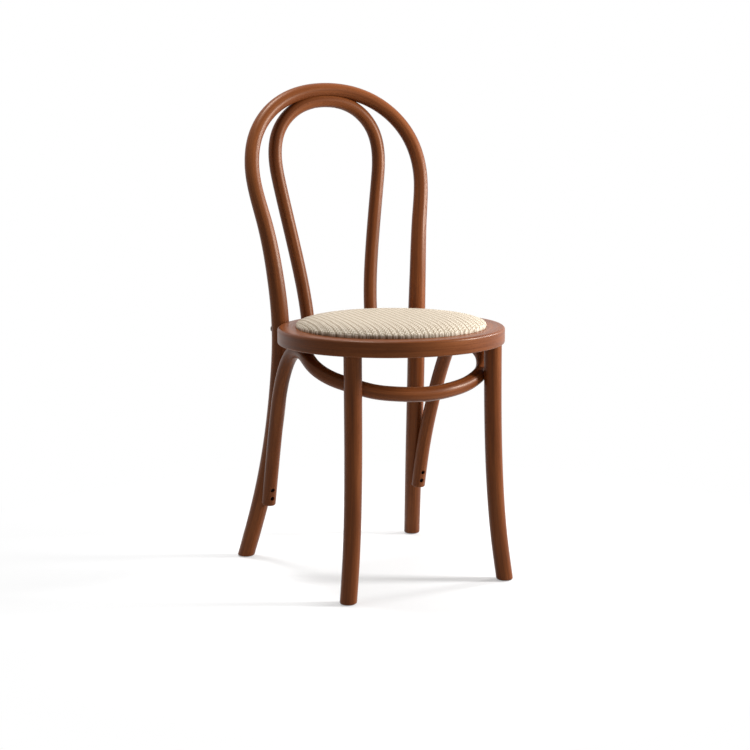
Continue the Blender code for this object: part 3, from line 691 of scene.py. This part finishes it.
def bore(node):
    """The stepped hole that a fixing sits in, open past its head."""
    sizes = fixing_sizes(node)
    start, direction, length = fixing_axis(node)
    head = sizes["head"] + CLEARANCE
    shank = sizes["shank"] + CLEARANCE
    step = sizes["height"] + CLEARANCE
    end = length + CLEARANCE
    profile = [(0.0, end), (shank, end), (shank, step), (head, step)]
    profile += [(head, -CUT_REACH), (0.0, -CUT_REACH)]
    return placed(turned("bore", profile, FIXING_SIDES), start, direction)


def fixing_sizes(node):
    return BOLT if node.startswith("frame_bolt") else SCREW


def fixing(node):
    """A domed head with its driver recess, a plain shank and a point."""
    sizes = fixing_sizes(node)
    start, direction, length = fixing_axis(node)
    head = sizes["head"]
    height = sizes["height"]
    shank = sizes["shank"]
    profile = [(0.0, length), (shank, length - shank), (shank, height), (head, height)]
    for turn in np.linspace(0.0, pi / 2, ROUND_STEPS + 1):
        profile.append((head * cos(turn), height * HEAD_RIM_RISE * (1 - sin(turn))))
    profile[-1] = (0.0, 0.0)
    obj = turned("fixing_" + node, profile, FIXING_SIDES)
    if sizes is BOLT:
        turns = tau * np.arange(SOCKET_SIDES) / SOCKET_SIDES
        reach = head * SOCKET_SHARE
        outline = [(reach * cos(turn), reach * sin(turn)) for turn in turns]
    else:
        arm = head * RECESS_SHARE
        half = RECESS_WIDTH / 2
        outline = [(arm, -half), (arm, half), (half, half)]
        outline += [(half, arm), (-half, arm), (-half, half)]
        outline += [(-x, -y) for x, y in outline]
    recess = prism("recess", outline, -CUT_REACH, height * RECESS_DEPTH)
    cut(obj, [recess])
    discard([recess])
    return placed(obj, start, direction)


def ring_profile(grow=0.0):
    """The seat ring's section; grown outwards, it is the seat cut into the rods."""
    top = SEAT_HEIGHT + grow
    bottom = RING_BOTTOM - grow
    outside = SEAT_RADIUS + grow
    top_round = RING_TOP_ROUND + grow
    bottom_round = RING_BOTTOM_ROUND + grow
    inner = RING_INNER_ROUND
    low_corner = (outside - bottom_round, bottom + bottom_round)
    profile = arc((WELL_RADIUS + inner, top - inner), inner, 180.0, 90.0, ROUND_STEPS)
    profile += arc((outside - top_round, top - top_round), top_round, 90.0, 0.0, 2 * ROUND_STEPS)
    profile += arc(low_corner, bottom_round, 0.0, -90.0, ROUND_STEPS)
    profile += arc((LEDGE_RADIUS + inner, bottom + inner), inner, 270.0, 180.0, ROUND_STEPS)
    profile += [(LEDGE_RADIUS, LEDGE_TOP), (WELL_RADIUS, LEDGE_TOP)]
    return profile


def seat_ring(name, profile, seed=0.0):
    return moved_to_ring(turned(name, profile, RING_STEPS, closed=True, seed=seed))


def crown_heights(path, width):
    """Heights and steepness of a hoop's arch across its crown."""
    arch = path[np.argmax(path[:, 0]) :][::-1]
    slope = np.gradient(arch[:, 2], arch[:, 0])
    heights = np.interp(width, arch[:, 0], arch[:, 2])
    steepness = np.interp(width, arch[:, 0], slope)
    return heights, np.sqrt(1 + steepness**2)


def crown_joint(outer, inner):
    """The line across the crown on which both hoops are planed to meet."""
    widths = np.linspace(0.0, INNER_SHOULDER_HALF_WIDTH - INNER_RADIUS, JOINT_SAMPLES)
    outer_heights, outer_steep = crown_heights(outer, widths)
    inner_heights, inner_steep = crown_heights(inner, widths)
    outer_half = HOOP_RADIUS * outer_steep
    inner_half = INNER_RADIUS * inner_steep
    gap = outer_heights - inner_heights
    apart = np.flatnonzero(gap > outer_half + inner_half)
    last = apart[0] if len(apart) else len(widths) - 1
    line = outer_heights - gap * outer_half / (outer_half + inner_half)
    reach = np.linspace(-widths[last], widths[last], JOINT_STEPS + 1)
    return reach, np.interp(np.abs(reach), widths, line)


def curtain(across, heights, far, depth):
    """A slab whose one edge follows a line, standing to a far height, square to Y."""
    outline = list(zip(across, heights)) + [(x, far) for x in across[::-1]]
    if far < heights[0]:
        outline = outline[::-1]
    obj = prism("curtain", outline, -depth[1], -depth[0])
    obj.data.transform(Matrix.Rotation(pi / 2, 4, "X"))
    return obj


def stretch(path, low, high):
    """The part of a rising path between two heights."""
    inside = path[(path[:, 2] > low) & (path[:, 2] < high)]
    return np.vstack((at_height(path, low), inside, at_height(path, high)))


def grown_pair(path, radii_of):
    """Slightly thicker copies of a leg on both sides, as cutters for what seats on it."""
    radii = radii_of(path) + CLEARANCE
    return [moved_to_ring(swept("seat", side, radii)) for side in (path, mirrored(path))]


def even_radii(radius):
    return lambda path: np.full(len(path), radius)


def bent_rod(name, half, radii_of, rounding, seed, level_ends=False):
    path = whole_path(half)
    path, radii = round_both_ends(path, radii_of(path), rounding)
    return moved_to_ring(swept(name, path, radii, seed, level_ends))


def front_leg(name, path, seed):
    path, radii = round_end(path, front_radii(path), FOOT_ROUND)
    return moved_to_ring(swept(name, path, radii, seed, level_ends=True))


def under_foot(name, profile, low, high):
    """A turned shape on the upright axis of a glide's box."""
    obj = turned(name, profile, FIXING_SIDES)
    middle = (low + high) / 2
    obj.data.transform(Matrix.Translation((middle[0], middle[1], 0.0)))
    return obj


def glide(node):
    """A thin turned glide with its pin, let into a foot."""
    low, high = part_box(node)
    radius = (high[0] - low[0]) / 2
    profile = [(0.0, high[2]), (GLIDE_PIN, high[2] - GLIDE_PIN)]
    profile += [(GLIDE_PIN, GLIDE_HEIGHT), (radius, GLIDE_HEIGHT)]
    profile += arc((radius - GLIDE_ROUND, GLIDE_ROUND), GLIDE_ROUND, 0.0, -90.0, ROUND_STEPS)
    profile.append((0.0, 0.0))
    return under_foot("foot_" + node, profile, low, high)


def glide_hole(node):
    low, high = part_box(node)
    radius = (high[0] - low[0]) / 2 + CLEARANCE
    pin = GLIDE_PIN + CLEARANCE
    top = GLIDE_HEIGHT + CLEARANCE
    profile = [(0.0, high[2] + CLEARANCE), (pin, high[2]), (pin, top), (radius, top)]
    profile += [(radius, -CUT_REACH), (0.0, -CUT_REACH)]
    return under_foot("hole", profile, low, high)


def pad_profile():
    """The pad from the middle of its crown, over its rolled edge, to its foot on the board."""
    radius = PAD_RADIUS + PAD_OVERHANG
    edge = SEAT_HEIGHT + PAD_EDGE_RISE
    shoulder = radius - PAD_ROLL
    points = []
    for reach in np.linspace(0.0, shoulder, PAD_STATIONS):
        points.append((reach, edge + PAD_CROWN * (1 - (reach / radius) ** PAD_CROWN_BEND)))
    drop = points[-1][1] - PAD_ROLL
    points += arc((shoulder, drop), PAD_ROLL, PAD_ROLL_START, 0.0, ROUND_STEPS)
    points.append((PAD_RADIUS + RING_INNER_ROUND, SEAT_HEIGHT + CLEARANCE))
    points.append((PAD_RADIUS, SEAT_HEIGHT - RING_INNER_ROUND))
    return points + [(PAD_RADIUS - PAD_DRAW_IN, PAD_FOOT), (0.0, PAD_FOOT)]


def swollen(obj):
    """Fills the pad by a short cloth simulation, held where it stands in the ring."""
    scene = bpy.context.scene
    before = vertex_places(obj.data)
    held = obj.vertex_groups.new(name="held")
    inside = np.flatnonzero(before[:, 2] < SEAT_HEIGHT + 2 * CLEARANCE)
    held.add([int(i) for i in inside], 1.0, "REPLACE")
    cloth = obj.modifiers.new("fill", "CLOTH")
    cloth.settings.vertex_group_mass = held.name
    cloth.settings.use_pressure = True
    cloth.settings.uniform_pressure_force = PAD_PRESSURE
    cloth.settings.effector_weights.gravity = 0.0
    cloth.point_cache.frame_end = PAD_FRAMES
    for number in range(1, PAD_FRAMES + 1):
        scene.frame_set(number)
    graph = bpy.context.evaluated_depsgraph_get()
    after = vertex_places(obj.evaluated_get(graph).data)
    obj.modifiers.clear()
    scene.frame_set(1)
    move = after - before
    far = np.maximum(np.linalg.norm(move, axis=1), TINY)
    return before + move * np.minimum(1.0, PAD_CAP / far)[:, None]


def seat_pad(surface):
    """The crowned pad, with the cover's turned-under edge round the board."""
    obj = turned("pad_woven", pad_profile(), PAD_SIDES)
    places = swollen(obj)
    places[:, 2] = np.minimum(places[:, 2], PAD_TOP)
    obj.data.vertices.foreach_set("co", places.ravel())
    finer = obj.modifiers.new("finer", "SUBSURF")
    finer.levels = 1
    finer.render_levels = 1
    applied(obj)
    outside = PAD_RADIUS - PAD_DRAW_IN
    inside = (BOARD_HIGH[0] - BOARD_LOW[0]) / 2 + CLEARANCE
    lip = PAD_RADIUS - COVER_LIP
    turn_up = BOARD_LOW[2] - CLEARANCE
    profile = [(outside, PAD_FOOT), (outside, PAD_BOTTOM), (lip, PAD_BOTTOM), (lip, turn_up)]
    profile += [(inside, turn_up), (inside, PAD_FOOT)]
    edge = turned("edge", profile, PAD_SIDES, closed=True)
    with bpy.context.temp_override(active_object=obj, selected_editable_objects=[obj, edge]):
        bpy.ops.object.join()
    moved_to_ring(obj)
    dressed(obj, "woven_cover", surface, "woven_cover", "seat_foam")


def new_surface(name, colour, roughness, metallic=0.0):
    surface = bpy.data.materials.new(name)
    surface.use_nodes = True
    shader = surface.node_tree.nodes["Principled BSDF"]
    shader.inputs["Base Color"].default_value = (*colour, 1.0)
    shader.inputs["Roughness"].default_value = roughness
    shader.inputs["Metallic"].default_value = metallic
    return surface, surface.node_tree, shader


def add(tree, kind, inputs, **settings):
    """A node with its settings made and its inputs set or linked."""
    node = tree.nodes.new(kind)
    for key, value in settings.items():
        setattr(node, key, value)
    for key, value in inputs.items():
        if isinstance(value, bpy.types.NodeSocket):
            tree.links.new(value, node.inputs[key])
        else:
            node.inputs[key].default_value = value
    return node


def worked(tree, operation, *values):
    """One step of arithmetic."""
    return add(tree, "ShaderNodeMath", dict(enumerate(values)), operation=operation).outputs[0]


def stretched(tree, place, scales):
    inputs = {0: place, 1: scales}
    return add(tree, "ShaderNodeVectorMath", inputs, operation="MULTIPLY").outputs[0]


def noise(tree, place, scales, detail, roughness=0.5):
    inputs = {"Vector": stretched(tree, place, scales), "Scale": 1.0}
    inputs.update({"Detail": detail, "Roughness": roughness})
    return add(tree, "ShaderNodeTexNoise", inputs).outputs["Fac"]


def between(tree, value, low, high, start=0.0, end=1.0):
    inputs = {"Value": value, "From Min": start, "From Max": end, "To Min": low, "To Max": high}
    return add(tree, "ShaderNodeMapRange", inputs).outputs["Result"]


def ramp(tree, value, stops):
    node = add(tree, "ShaderNodeValToRGB", {"Fac": value})
    while len(node.color_ramp.elements) < len(stops):
        node.color_ramp.elements.new(0.5)
    for element, (position, colour) in zip(node.color_ramp.elements, stops):
        element.position = position
        element.color = (*colour, 1.0)
    return node.outputs["Color"]


def bumped(tree, shader, height, strength, distance):
    inputs = {"Height": height, "Strength": strength, "Distance": distance}
    node = add(tree, "ShaderNodeBump", inputs)
    tree.links.new(node.outputs["Normal"], shader.inputs["Normal"])


def object_place(tree):
    return add(tree, "ShaderNodeTexCoord", {}).outputs["Object"]


def stained_wood():
    """Beech under a brown stain: long soft streaks that follow the bends, and fine pores."""
    usual, low, high = WOOD_ROUGHNESS
    surface, tree, shader = new_surface("stained_wood", WOOD_STOPS[1][1], usual)
    work = partial(worked, tree)
    flat = add(tree, "ShaderNodeUVMap", {}, uv_map="grain").outputs["UV"]
    deep = add(tree, "ShaderNodeUVMap", {}, uv_map="depth").outputs["UV"]
    along, across, _ = add(tree, "ShaderNodeSeparateXYZ", {0: flat}).outputs
    depth, seed, _ = add(tree, "ShaderNodeSeparateXYZ", {0: deep}).outputs
    shifted = work("ADD", along, seed)
    place = add(tree, "ShaderNodeCombineXYZ", {0: shifted, 1: across, 2: depth}).outputs[0]
    broad = noise(tree, place, *WOOD_BROAD)
    streak = noise(tree, place, *WOOD_STREAK)
    pore = noise(tree, place, *WOOD_PORE)
    fine = work("MULTIPLY", streak, WOOD_STREAK_SHARE)
    tone = work("MULTIPLY_ADD", broad, WOOD_BROAD_SHARE, fine)
    pores = between(tree, pore, 0.0, WOOD_PORE_DARK, *WOOD_PORE_SPAN)
    stained = ramp(tree, work("SUBTRACT", tone, pores), WOOD_STOPS)
    tree.links.new(stained, shader.inputs["Base Color"])
    tree.links.new(between(tree, streak, low, high, *WOOD_ROUGH_SPAN), shader.inputs["Roughness"])
    shader.inputs["Specular IOR Level"].default_value = WOOD_GLOSS
    shader.inputs["Specular Tint"].default_value = (*WOOD_SHEEN, 1.0)
    bumped(tree, shader, work("SUBTRACT", streak, pores), *WOOD_BUMP)
    return surface


def woven_cover():
    """Braided rows side by side, each of strands that meet at its middle like a chevron.
    The gaps between strands, each row's middle seam and its edges are darkened in colour as painted
    shade, and the same shape gives the bump.
    """
    usual, low, high = WEAVE_ROUGHNESS
    surface, tree, shader = new_surface("woven_cover", WEAVE_AND_GAP_SHADE_STOPS[-1][1], usual)
    work = partial(worked, tree)
    place = object_place(tree)
    x, y, _ = add(tree, "ShaderNodeSeparateXYZ", {0: place}).outputs
    sway = work("SUBTRACT", noise(tree, place, *WEAVE_SWAY), 0.5)
    side = work("MULTIPLY_ADD", x, cos(WEAVE_TURN), work("MULTIPLY", y, sin(WEAVE_TURN)))
    run = work("MULTIPLY_ADD", y, cos(WEAVE_TURN), work("MULTIPLY", x, -sin(WEAVE_TURN)))
    beat = work("PINGPONG", work("DIVIDE", run, WEAVE_STRAND), 0.5)
    row = work("DIVIDE", work("ADD", side, work("MULTIPLY", sway, WEAVE_WANDER)), WEAVE_ROW)
    row = work("MULTIPLY_ADD", beat, WEAVE_ZIGZAG, row)
    number = work("FLOOR", row)
    off = work("ABSOLUTE", work("MULTIPLY_ADD", work("FRACT", row), 2.0, -1.0))
    lead = work("MULTIPLY_ADD", off, WEAVE_SLANT, work("MULTIPLY", number, WEAVE_SHIFT))
    strand = work("ADD", work("DIVIDE", run, WEAVE_STRAND), lead)
    wave = work("PINGPONG", strand, 0.5)
    # Seam, groove and rounded edge darken the colour as painted shade in the weave's hollows, and
    # lower the bump there.
    seam = between(tree, off, 1.0 - WEAVE_SEAM, 1.0, *WEAVE_GAP_SPAN)
    groove = between(tree, wave, 1.0 - WEAVE_STRAND_GAP, 1.0, *WEAVE_GAP_SPAN)
    rounded = work("MULTIPLY_ADD", work("POWER", off, WEAVE_ROUNDING), -WEAVE_ROW_GAP, 1.0)
    cord_relief_and_shade = work("MULTIPLY", work("MULTIPLY", rounded, seam), groove)
    fibre = noise(tree, place, *WEAVE_FIBRE)
    patch = noise(tree, place, *WEAVE_PATCH)
    tone = work("MULTIPLY_ADD", patch, WEAVE_PATCH_TONE, cord_relief_and_shade)
    tone = work("MULTIPLY", work("MULTIPLY_ADD", fibre, WEAVE_FIBRE_TONE, tone), WEAVE_TONE)
    tree.links.new(ramp(tree, tone, WEAVE_AND_GAP_SHADE_STOPS), shader.inputs["Base Color"])
    tree.links.new(between(tree, fibre, low, high), shader.inputs["Roughness"])
    bumped(tree, shader, work("MULTIPLY_ADD", fibre, WEAVE_FIBRE_RISE, cord_relief_and_shade), *WEAVE_BUMP)
    return surface


def flecked(name, stops, roughness, grain, bump, metallic=0.0):
    """A surface whose tone, roughness and relief follow one noise."""
    usual, low, high = roughness
    surface, tree, shader = new_surface(name, stops[1][1], usual, metallic)
    fleck = noise(tree, object_place(tree), *grain)
    tree.links.new(ramp(tree, fleck, stops), shader.inputs["Base Color"])
    tree.links.new(between(tree, fleck, low, high), shader.inputs["Roughness"])
    bumped(tree, shader, fleck, *bump)
    return surface


def bores(*names):
    return [bore(node) for node in sorted(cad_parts) if node.startswith(names)]


def holes(*names):
    return [glide_hole(node) for node in sorted(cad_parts) if node.startswith(names)]


def wooden_pieces(surface):
    rear = back_frame_path()
    inner = inner_hoop_path()
    front = front_leg_path()
    brace = brace_path(rear, front)
    nodes = ("back_frame", "inner_hoop", "brace", "front_leg_right", "front_leg_left", "seat_ring")
    seeds = GRAIN_SHIFT * np.arange(len(nodes))
    back = bent_rod("rod_back_frame", rear, rear_radii, FOOT_ROUND, seeds[0], level_ends=True)
    hoop = bent_rod("rod_inner_hoop", inner, even_radii(INNER_RADIUS), INNER_END_ROUND, seeds[1])
    bow = bent_rod("rod_brace", brace, even_radii(BRACE_RADIUS), BRACE_END_ROUND, seeds[2])
    right = front_leg("leg_front_right", front, seeds[3])
    left = front_leg("leg_front_left", mirrored(front), seeds[4])
    ring = seat_ring("ring_seat", ring_profile(), seeds[5])

    ring_seat = seat_ring("ring_cutter", ring_profile(CLEARANCE))
    across, line = crown_joint(rear, inner)
    depth = (rear[-1, 1] - CUT_REACH, rear[-1, 1] + CUT_REACH)
    below = moved_to_ring(curtain(across, line, inner_crown() - CUT_REACH, depth))
    above = moved_to_ring(curtain(across, line, OVERALL_HEIGHT + CUT_REACH, depth))
    rear_seat = stretch(rear, BRACE_END_HEIGHT - CUT_REACH, BRACE_LEAVE_HEIGHT + CUT_REACH)
    touch = RING_BOTTOM - BRACE_FRONT_DROP
    front_seat = stretch(front, touch - CUT_REACH, touch + CUT_REACH)
    cutters = {
        back: [ring_seat, below, *bores("frame_bolt", "brace_rear", "crown"), *holes("glide_rear")],
        hoop: [ring_seat, above, *bores("hoop_screw", "crown")],
        bow: [ring_seat, *grown_pair(rear_seat, rear_radii), *grown_pair(front_seat, front_radii)],
        right: [*bores("brace_front_screw_right"), *holes("glide_front_right")],
        left: [*bores("brace_front_screw_left"), *holes("glide_front_left")],
        ring: bores("frame_bolt", "hoop_screw", "brace_ring", "board_screw"),
    }
    cutters[bow] += bores("brace_")
    for (obj, shapes), node in zip(cutters.items(), nodes):
        cut(obj, shapes)
        dressed(obj, "stained_wood", surface, node)
    discard({shape.name: shape for shapes in cutters.values() for shape in shapes}.values())


def fixings_and_feet(steel, feet):
    for node in sorted(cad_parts):
        if "screw" in node or "bolt" in node:
            dressed(fixing(node), "dark_steel", steel, node)
        elif node.startswith("glide"):
            dressed(glide(node), "glide", feet, node)


def finished_solid(node, surface):
    """A solid that is shown as it is, with a surface of its own."""
    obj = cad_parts[node]
    obj.data.materials.clear()
    obj.data.materials.append(surface)


def camera():
    data = bpy.data.cameras.new("view")
    data.lens = CAMERA_LENS
    data.sensor_width = SENSOR
    obj = bpy.data.objects.new("view", data)
    turn = Matrix.Rotation(CAMERA_YAW, 4, "Z") @ Matrix.Rotation(pi / 2 - CAMERA_PITCH, 4, "X")
    turn = turn @ Matrix.Rotation(CAMERA_ROLL, 4, "Z")
    obj.matrix_world = Matrix.Translation(CAMERA_PLACE) @ turn
    bpy.context.scene.collection.objects.link(obj)
    bpy.context.scene.camera = obj


def lamp(name, place, width, height, power):
    """A soft lamp aimed at the middle of the chair."""
    data = bpy.data.lights.new(name, "AREA")
    data.shape = "RECTANGLE"
    data.size = width
    data.size_y = height
    data.energy = power
    obj = bpy.data.objects.new(name, data)
    aim = Vector((0.0, 0.0, SEAT_HEIGHT)) - Vector(place)
    obj.matrix_world = Matrix.Translation(place) @ aim.to_track_quat("-Z", "Y").to_matrix().to_4x4()
    bpy.context.scene.collection.objects.link(obj)
    return obj


def seen_directly(tree):
    """One for rays that show what is behind the chair, and nothing for those that light it."""
    path = add(tree, "ShaderNodeLightPath", {}).outputs
    shown = worked(tree, "MAXIMUM", path["Is Camera Ray"], path["Is Glossy Ray"])
    return worked(tree, "MAXIMUM", shown, path["Is Transmission Ray"])


def white_room():
    world = bpy.data.worlds.new("room")
    world.use_nodes = True
    tree = world.node_tree
    tree.nodes["Background"].inputs["Color"].default_value = WHITE
    strength = between(tree, seen_directly(tree), ROOM_LIGHT, 1.0)
    tree.links.new(strength, tree.nodes["Background"].inputs["Strength"])
    bpy.context.scene.world = world


def floor():
    """A pale floor that keeps the shadow near the chair and runs out into white."""
    turns = tau * np.arange(FLOOR_SIDES) / FLOOR_SIDES
    points = [(FLOOR_RADIUS * cos(turn), FLOOR_RADIUS * sin(turn), 0.0) for turn in turns]
    obj = add_object("floor", points, [list(range(len(points)))])
    surface, tree, shader = new_surface("floor", FLOOR_COLOUR, FLOOR_ROUGHNESS)
    shader.inputs["Specular IOR Level"].default_value = 0.0
    shown = seen_directly(tree)
    pale = ramp(tree, shown, ((0.0, FLOOR_BOUNCE), (1.0, FLOOR_COLOUR)))
    tree.links.new(pale, shader.inputs["Base Color"])
    place = {0: object_place(tree)}
    away = add(tree, "ShaderNodeVectorMath", place, operation="LENGTH").outputs["Value"]
    fade = between(tree, away, FLOOR_GLOW, 1.0, *FLOOR_FADE)
    share = worked(tree, "MULTIPLY", fade, shown)
    glow = add(tree, "ShaderNodeEmission", {"Color": WHITE, "Strength": 1.0})
    mixed = add(tree, "ShaderNodeMixShader", {0: share, 1: shader.outputs[0], 2: glow.outputs[0]})
    tree.links.new(mixed.outputs[0], tree.nodes["Material Output"].inputs["Surface"])
    obj.data.materials.append(surface)


def main():
    flecks = {name: flecked(name, **values) for name, values in FLECKED.items()}
    wooden_pieces(stained_wood())
    fixings_and_feet(flecks["dark_steel"], flecks["glide"])
    finished_solid("seat_board", flecks["plywood"])
    for side in ("left", "right"):
        finished_solid("frame_insert_" + side, flecks["brass"])
    seat_pad(woven_cover())
    camera()
    for values in LAMPS:
        lamp(*values)
    lamp(*BACK_LAMP).visible_glossy = False
    white_room()
    floor()
    bpy.context.scene.view_settings.view_transform = "Standard"
    bpy.context.view_layer.update()


main()
